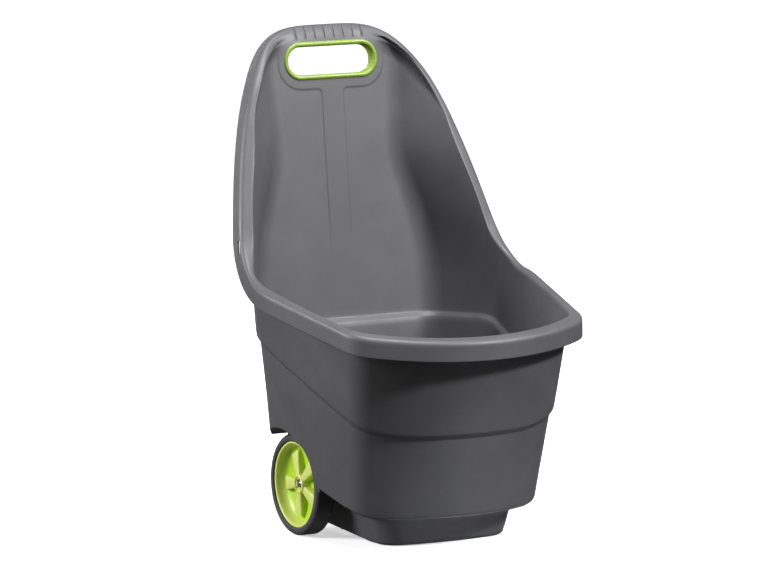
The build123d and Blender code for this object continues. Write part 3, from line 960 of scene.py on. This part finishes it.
def disc_parts():
    profile = [
        (174.0, 12.6), (173.9, 13.8), (173.3, 15.0), (172.2, 15.8), (165.0, 16.6), (161.2, 17.6),
        (159.6, 19.6), (158.8, 24.0), (158.5, 32.0), (158.9, 42.0), (160.1, 50.0), (162.0, 57.0),
        (164.6, 61.6), (168.0, 64.4), (172.0, 66.0), (176.0, 66.8), (178.4, 67.4), (179.5, 68.2),
        (180.0, 69.4), (180.0, 70.8), (179.5, 71.9), (178.6, 72.45), (166.0, 72.45), (150.4, 72.45),
        (149.6, 71.9), (149.5, 70.2), (150.2, 69.2), (156.0, 68.6), (159.6, 66.6), (158.6, 58.0),
        (156.0, 46.0), (155.2, 26.0), (154.0, 16.6), (152.5, 15.2), (134.0, 15.0), (133.3, 14.3),
        (133.1, 13.0), (133.1, 5.1), (148.0, 5.1), (163.0, 5.1), (163.0, 11.2), (172.8, 11.5),
        (173.7, 11.8),
    ]
    parts = [turned(profile)]
    parts += [spoke(math.radians(67.0 + 72.0 * i)) for i in range(5)]
    return parts


def wheel_piece(name, parts, side):
    if side < 0:
        parts = [mirrored(p) for p in parts]
    return gather(name, parts)


# ---------------------------------------------------------------- materials
def material(name):
    mat = bpy.data.materials.new(name)
    mat.use_nodes = True
    tree = mat.node_tree
    return mat, tree, tree.nodes["Principled BSDF"]


def node(tree, kind, **values):
    n = tree.nodes.new(kind)
    for key, value in values.items():
        setattr(n, key, value)
    return n


def noise(tree, place, scale, detail, rough=0.5):
    n = node(tree, "ShaderNodeTexNoise")
    n.inputs["Scale"].default_value = scale
    n.inputs["Detail"].default_value = detail
    n.inputs["Roughness"].default_value = rough
    tree.links.new(place, n.inputs["Vector"])
    return n.outputs["Fac"]


def ramp(tree, value, stops):
    n = node(tree, "ShaderNodeValToRGB")
    while len(n.color_ramp.elements) < len(stops):
        n.color_ramp.elements.new(0.5)
    for element, (position, colour) in zip(n.color_ramp.elements, stops):
        element.position = position
        element.color = colour if isinstance(colour, tuple) else (colour, colour, colour, 1.0)
    tree.links.new(value, n.inputs["Fac"])
    return n.outputs["Color"]


def blend_colours(tree, kind, factor, a, b):
    n = node(tree, "ShaderNodeMix", data_type="RGBA", blend_type=kind)
    for socket, value in (("Factor", factor), ("A", a), ("B", b)):
        target = [i for i in n.inputs if i.name == socket and i.enabled and i.type != "VECTOR"][0]
        if isinstance(value, (int, float, tuple)):
            target.default_value = value
        else:
            tree.links.new(value, target)
    return [o for o in n.outputs if o.type == "RGBA" and o.enabled][0]


def bump(tree, height, strength, distance, under=None):
    n = node(tree, "ShaderNodeBump")
    n.inputs["Strength"].default_value = strength
    n.inputs["Distance"].default_value = distance
    tree.links.new(height, n.inputs["Height"])
    if under is not None:
        tree.links.new(under, n.inputs["Normal"])
    return n.outputs["Normal"]


def moulded(name, dark, light, worn, rough, grain, grain_scale, cloud_scale=9.0, subsurface=0.0, coat=0.0,
            outboard_tone_and_highlight=None):
    """Moulded plastic or rubber: cloudy colour, fine grain, uneven sheen and paler worn edges; optional bands
    of distance from the middle take other tones, one of them a painted highlight.
    """
    mat, tree, shader = material(name)
    place = node(tree, "ShaderNodeTexCoord").outputs["Object"]
    cloud = noise(tree, place, cloud_scale, 4.0, 0.55)
    fine = noise(tree, place, grain_scale, 6.0, 0.6)
    colour = ramp(tree, cloud, [(0.32, dark), (0.68, light)])
    speck = ramp(tree, fine, [(0.3, 0.86), (0.7, 1.0)])
    colour = blend_colours(tree, "MULTIPLY", 0.6, colour, speck)
    edge = ramp(tree, node(tree, "ShaderNodeNewGeometry").outputs["Pointiness"], [(0.53, 0.0), (0.62, 1.0)])
    scuffs = ramp(tree, noise(tree, place, 60.0, 5.0), [(0.4, 0.15), (0.65, 1.0)])
    patchy = blend_colours(tree, "MULTIPLY", 1.0, edge, scuffs)
    factor = node(tree, "ShaderNodeRGBToBW")
    tree.links.new(patchy, factor.inputs["Color"])
    colour = blend_colours(tree, "MIX", factor.outputs["Val"], colour, worn)
    # Bands of |x| in object space take other tones. On the green plastic the wheels beyond 0.13 m take a
    # lighter green, and their raised spoke, hub and rim faces beyond about 0.165 m take a pale painted
    # highlight.
    if outboard_tone_and_highlight is not None:
        split = node(tree, "ShaderNodeSeparateXYZ")
        tree.links.new(place, split.inputs["Vector"])
        outboard = node(tree, "ShaderNodeMath", operation="ABSOLUTE")
        tree.links.new(split.outputs["X"], outboard.inputs[0])
        for low, high, tone in outboard_tone_and_highlight:
            depth = node(tree, "ShaderNodeMapRange")
            depth.inputs["From Min"].default_value = low
            depth.inputs["From Max"].default_value = high
            tree.links.new(outboard.outputs["Value"], depth.inputs["Value"])
            tinted = blend_colours(tree, "MULTIPLY", 0.6, tone, speck)
            colour = blend_colours(tree, "MIX", depth.outputs["Result"], colour, tinted)
    tree.links.new(colour, shader.inputs["Base Color"])
    sheen = node(tree, "ShaderNodeMapRange")
    sheen.inputs["From Min"].default_value = 0.3
    sheen.inputs["From Max"].default_value = 0.7
    sheen.inputs["To Min"].default_value = rough - 0.06
    sheen.inputs["To Max"].default_value = rough + 0.06
    tree.links.new(noise(tree, place, 28.0, 5.0), sheen.inputs["Value"])
    tree.links.new(sheen.outputs["Result"], shader.inputs["Roughness"])
    coarse = bump(tree, cloud, 0.05, 0.002)
    tree.links.new(bump(tree, fine, grain, 0.0004, coarse), shader.inputs["Normal"])
    shader.inputs["Subsurface Weight"].default_value = subsurface
    shader.inputs["Subsurface Radius"].default_value = (0.6, 1.0, 0.25)
    shader.inputs["Subsurface Scale"].default_value = 0.004
    shader.inputs["Coat Weight"].default_value = coat
    shader.inputs["Coat Roughness"].default_value = 0.25
    return mat


def plated(name, dark, light, rough, streak):
    """Plated steel: drawn streaks round the rod, cloudy tone and small scuffs."""
    mat, tree, shader = material(name)
    place = node(tree, "ShaderNodeTexCoord").outputs["Object"]
    stretch = node(tree, "ShaderNodeMapping")
    stretch.inputs["Scale"].default_value = (streak, 1.0, 1.0)
    tree.links.new(place, stretch.inputs["Vector"])
    lines = noise(tree, stretch.outputs["Vector"], 60.0, 5.0, 0.65)
    cloud = noise(tree, place, 120.0, 3.0)
    colour = ramp(tree, lines, [(0.3, dark), (0.7, light)])
    tree.links.new(colour, shader.inputs["Base Color"])
    scuff = node(tree, "ShaderNodeMapRange")
    scuff.inputs["To Min"].default_value = rough - 0.08
    scuff.inputs["To Max"].default_value = rough + 0.12
    tree.links.new(cloud, scuff.inputs["Value"])
    tree.links.new(scuff.outputs["Result"], shader.inputs["Roughness"])
    tree.links.new(bump(tree, lines, 0.12, 0.0002), shader.inputs["Normal"])
    shader.inputs["Metallic"].default_value = 1.0
    return mat


TUB_PLASTIC = moulded(
    "tub_plastic", (0.072, 0.072, 0.077, 1), (0.088, 0.088, 0.094, 1), (0.17, 0.17, 0.18, 1),
    0.5, 0.35, 900.0,
)
GREEN_PLASTIC = moulded(
    "green_plastic", (0.165, 0.262, 0.02, 1), (0.195, 0.295, 0.026, 1), (0.31, 0.42, 0.1, 1),
    0.4, 0.12, 700.0, 14.0, 0.1, 0.08,
    # lighter green for the wheels, then a pale painted highlight on their raised spoke, hub and rim faces
    [(0.12, 0.13, (0.46, 0.68, 0.03, 1)), (0.164, 0.1695, (0.68, 0.75, 0.2, 1))],
)
TYRE_BLACK = moulded(
    "tyre_black", (0.042, 0.042, 0.043, 1), (0.06, 0.06, 0.061, 1), (0.11, 0.11, 0.11, 1),
    0.62, 0.5, 1100.0, 30.0,
)
STEEL = plated("axle_steel", (0.36, 0.36, 0.36, 1), (0.62, 0.62, 0.61, 1), 0.32, 0.06)
WASHER_STEEL = plated("washer_steel", (0.42, 0.42, 0.41, 1), (0.66, 0.66, 0.64, 1), 0.34, 1.0)
CAP_STEEL = plated("cap_steel", (0.5, 0.51, 0.5, 1), (0.78, 0.79, 0.77, 1), 0.2, 1.0)


# ---------------------------------------------------------------- the pieces
def join(name, objects):
    verts, faces, start = [], [], 0
    for o in objects:
        verts += [tuple(v.co) for v in o.data.vertices]
        faces += [tuple(i + start for i in p.vertices) for p in o.data.polygons]
        start += len(o.data.vertices)
        bpy.data.objects.remove(o)
    return new_object(name, verts, faces)


shell = clean(make_shell())
cut_away(shell, hand_cutter())
cut_away(shell, side_cutter(1))
cut_away(shell, side_cutter(-1))
tub = clean(join("tub_moulding", [shell, clean(make_core())]))
ring = clean(make_ring())
PIECES = [(tub, "tub", "cart", "tub_plastic", TUB_PLASTIC)]
PIECES += [(ring, "grip_ring", "cart", "green_plastic", GREEN_PLASTIC)]
for word, side in (("left", 1), ("right", -1)):
    tyre = clean(wheel_piece("tyre_" + word + "_rubber", tyre_parts(), side), 40.0)
    disc = clean(wheel_piece("wheel_" + word + "_moulding", disc_parts(), side), 40.0)
    PIECES.append((tyre, "tyre_" + word, "wheel_" + word, "tyre_black", TYRE_BLACK))
    PIECES.append((disc, "wheel_disc_" + word, "wheel_" + word, "green_plastic", GREEN_PLASTIC))
for piece, cad_node, body, slot_name, finish in PIECES:
    piece.data.materials.clear()
    piece.data.materials.append(finish)
    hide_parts(cad_node)
    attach(piece, body)


def finish_node(name, finish):
    obj = nodes[name]
    if not obj.material_slots:
        obj.data.materials.append(finish)
    for s in obj.material_slots:
        s.material = finish
    for poly in obj.data.polygons:
        poly.use_smooth = True
    obj.data.set_sharp_from_angle(angle=math.radians(32.0))


finish_node("axle", STEEL)
for word in ("left", "right"):
    finish_node("outer_washer_" + word, WASHER_STEEL)
    finish_node("inner_washer_" + word, WASHER_STEEL)
    finish_node("push_cap_" + word, CAP_STEEL)


# ---------------------------------------------------------------- floor, light and camera
def pale_floor():
    mat, tree, shader = material("floor_pale")
    place = node(tree, "ShaderNodeTexCoord").outputs["Object"]
    shade = ramp(tree, noise(tree, place, 0.4, 2.0), [(0.3, 0.86), (0.7, 0.9)])
    tree.links.new(shade, shader.inputs["Base Color"])
    shader.inputs["Roughness"].default_value = 0.9
    shader.inputs["Emission Color"].default_value = (1.0, 1.0, 1.0, 1.0)
    # The floor glows with painted light. Emission rises from 0.5 near the middle to 1.02 beyond 2.4 m, so the
    # far floor reads white while cast shadows near the cart still show.
    spread = node(tree, "ShaderNodeVectorMath", operation="LENGTH")
    tree.links.new(place, spread.inputs[0])
    glow = node(tree, "ShaderNodeMapRange")
    glow.inputs["From Min"].default_value = 0.2
    glow.inputs["From Max"].default_value = 2.4
    glow.inputs["To Min"].default_value = 0.5
    glow.inputs["To Max"].default_value = 1.02
    tree.links.new(spread.outputs["Value"], glow.inputs["Value"])
    tree.links.new(glow.outputs["Result"], shader.inputs["Emission Strength"])
    size = 60.0
    corners = [(-size, -size, 0), (size, -size, 0), (size, size, 0), (-size, size, 0)]
    floor = new_object("floor", corners, [(0, 1, 2, 3)])
    floor.data.materials.append(mat)
    floor.visible_diffuse = False
    floor.visible_glossy = False


def soft_light(name, direction, distance, size, power, target=(0.0, 0.0, 0.42), spread=180.0):
    data = bpy.data.lights.new(name, "AREA")
    data.shape = "DISK"
    data.size = size
    data.energy = power
    data.spread = math.radians(spread)
    lamp = bpy.data.objects.new(name, data)
    bpy.context.scene.collection.objects.link(lamp)
    away = Vector(direction).normalized()
    lamp.location = Vector(target) + away * distance
    lamp.rotation_mode = "QUATERNION"
    lamp.rotation_quaternion = away.to_track_quat("Z", "Y")


def studio_world(seen, cast):
    world = bpy.data.worlds.new("studio")
    bpy.context.scene.world = world
    world.use_nodes = True
    tree = world.node_tree
    tree.nodes.clear()
    path = tree.nodes.new("ShaderNodeLightPath")
    lit = tree.nodes.new("ShaderNodeBackground")
    lit.inputs["Strength"].default_value = cast
    white = tree.nodes.new("ShaderNodeBackground")
    white.inputs["Strength"].default_value = seen
    for n in (lit, white):
        n.inputs["Color"].default_value = (1.0, 1.0, 1.0, 1.0)
    mix = tree.nodes.new("ShaderNodeMixShader")
    out = tree.nodes.new("ShaderNodeOutputWorld")
    tree.links.new(path.outputs["Is Camera Ray"], mix.inputs["Fac"])
    tree.links.new(lit.outputs["Background"], mix.inputs[1])
    tree.links.new(white.outputs["Background"], mix.inputs[2])
    tree.links.new(mix.outputs["Shader"], out.inputs["Surface"])


def camera():
    data = bpy.data.cameras.new("camera")
    data.sensor_width = 36.0
    data.lens = 268.9
    data.clip_start = 0.5
    data.clip_end = 200.0
    cam = bpy.data.objects.new("camera", data)
    bpy.context.scene.collection.objects.link(cam)
    right = Vector((0.876468, -0.481190, -0.016103))
    up = Vector((0.070773, 0.095684, 0.992893))
    back = Vector((-0.476230, -0.871378, 0.117919))
    cam.matrix_world = Matrix((right, up, back)).transposed().to_4x4()
    cam.location = (-4.5802, -8.3044, 1.5318)
    bpy.context.scene.camera = cam


pale_floor()
studio_world(1.0, 0.09)
soft_light("front_right", (0.5, -0.68, 0.52), 3.6, 0.5, 145.0)
soft_light("overhead", (-0.08, -0.3, 0.95), 3.4, 1.4, 185.0)
soft_light("left_fill", (-0.9, 0.32, 0.3), 3.2, 1.4, 112.0)
soft_light("rear_fill", (0.08, 0.97, 0.16), 3.2, 1.4, 45.0)
soft_light("low_front", (0.2, -0.97, 0.04), 1.7, 0.4, 0.2, (0.0, -0.14, 0.02), 16.0)
bpy.context.scene.view_settings.view_transform = "Standard"
camera()
